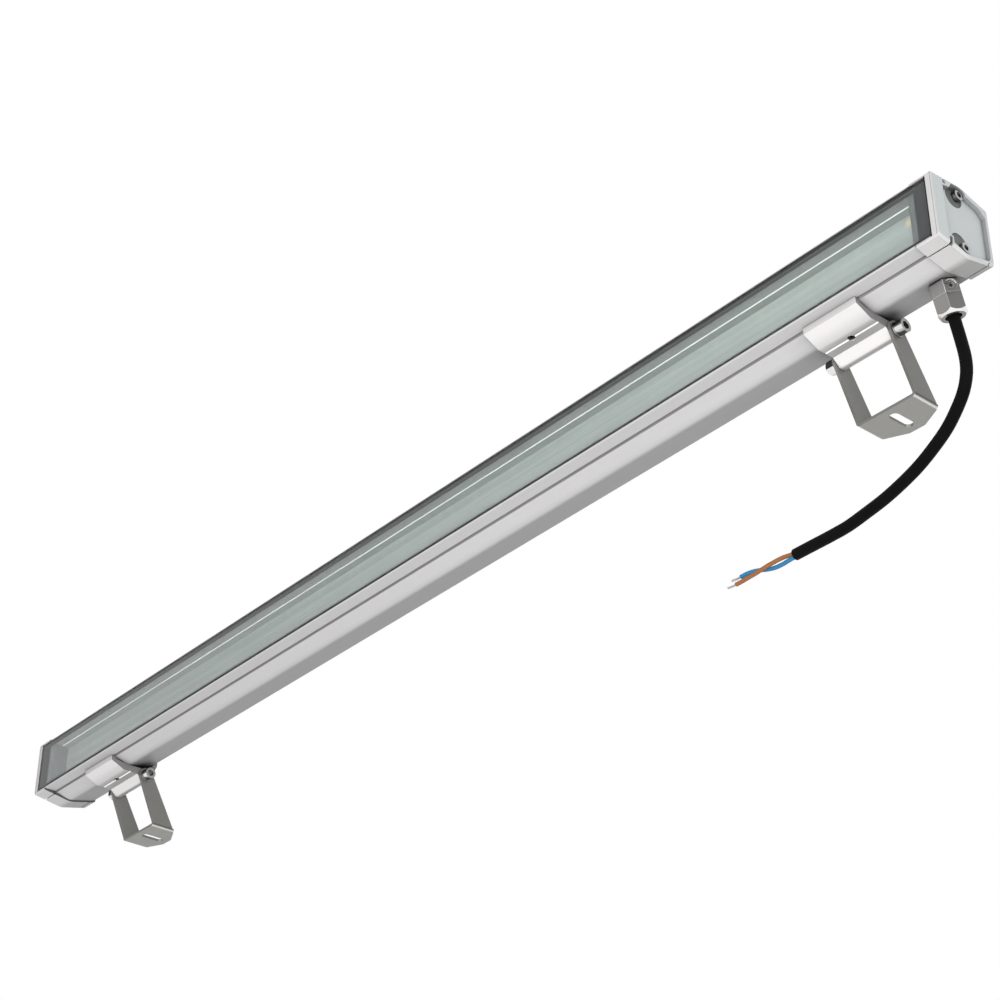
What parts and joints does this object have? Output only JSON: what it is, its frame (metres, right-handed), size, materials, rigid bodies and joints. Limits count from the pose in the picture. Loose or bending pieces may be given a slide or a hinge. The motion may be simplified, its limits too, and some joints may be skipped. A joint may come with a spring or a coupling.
{
  "type": "outdoor wall washer light",
  "caption": "Long slim outdoor wall washer light: aluminium housing with a glass front, on two clips and slotted tilting brackets, with a cable gland and a short lead.",
  "frame": {"origin": "midway between the slots of the two bracket feet, on the plane that the feet stand on", "axes": "+X along the lamp towards the cable gland, +Z from the feet to the lamp, and the glass looks along -Y"},
  "size_m": [1.01, 0.0815, 0.1583],
  "materials": {
    "anodised_housing": "satin anodised, fine die lines along the length",
    "cap_paint": "smooth satin cast and painted",
    "clip_aluminium": "bright satin anodised",
    "bracket_steel": "rolled sheet, warm grey, softly brushed",
    "stainless": "polished stainless steel",
    "nickel_brass": "nickel plated, semi bright",
    "clear_glass": "clear tempered glass, smooth",
    "black_print": "ceramic print on the inner face of the glass",
    "black_rubber": "satin black rubber",
    "white_frame": "satin white painted",
    "frosted_plate": "frosted, faint green blue",
    "grey_plastic": "matte",
    "white_board": "white solder mask",
    "led_yellow": "yellow phosphor",
    "white_plastic": "moulded",
    "driver_case": "potted case, satin",
    "brown_core": "soft insulation",
    "blue_core": "soft insulation",
    "tinned_copper": "tinned strands, twisted"
  },
  "bodies": {
    "brackets": {"left_bracket": "bracket_steel", "right_bracket": "bracket_steel", "left_bolt": "stainless", "right_bolt": "stainless", "left_washers": "stainless", "right_washers": "stainless", "left_nut": "stainless", "right_nut": "stainless"},
    "adapters": {"left_clip": "clip_aluminium", "right_clip": "clip_aluminium", "left_set_screw": "stainless", "right_set_screw": "stainless"},
    "lamp": {"housing_profile": "anodised_housing", "front_glass": "clear_glass", "glass_border": "black_print", "glass_seal": "black_rubber", "optic_frame": "white_frame", "optic_plate": "frosted_plate", "left_baffle": "grey_plastic", "right_baffle": "grey_plastic", "left_led_board": "white_board", "right_led_board": "white_board", "left_leds": "led_yellow", "right_leds": "led_yellow", "board_screws": "stainless", "board_link": "white_plastic", "driver": "driver_case", "driver_screws": "stainless", "terminal_block": "white_plastic", "inner_leads": "brown_core", "left_end_cap": "cap_paint", "right_end_cap": "cap_paint", "left_cap_gasket": "black_rubber", "right_cap_gasket": "black_rubber", "left_cap_screws": "stainless", "right_cap_screws": "stainless", "gland_body": "nickel_brass", "gland_oring": "black_rubber", "gland_lock_screw": "stainless", "gland_seal": "black_rubber", "gland_nut": "nickel_brass", "inner_cable": "black_rubber", "cable": "black_rubber", "brown_core": "brown_core", "blue_core": "blue_core", "brown_strand": "tinned_copper", "blue_strand": "tinned_copper"}
  },
  "joints": [
    {"name": "tilt", "type": "hinge", "parent": "brackets", "child": "adapters", "pos_m": [0, -0.025, 0.042], "axis": [1, 0, 0], "range_deg": [-90, 90]},
    {"name": "slide", "type": "slide", "parent": "adapters", "child": "lamp", "axis": [1, 0, 0], "range_m": [-0.015, 0.05]}
  ]
}
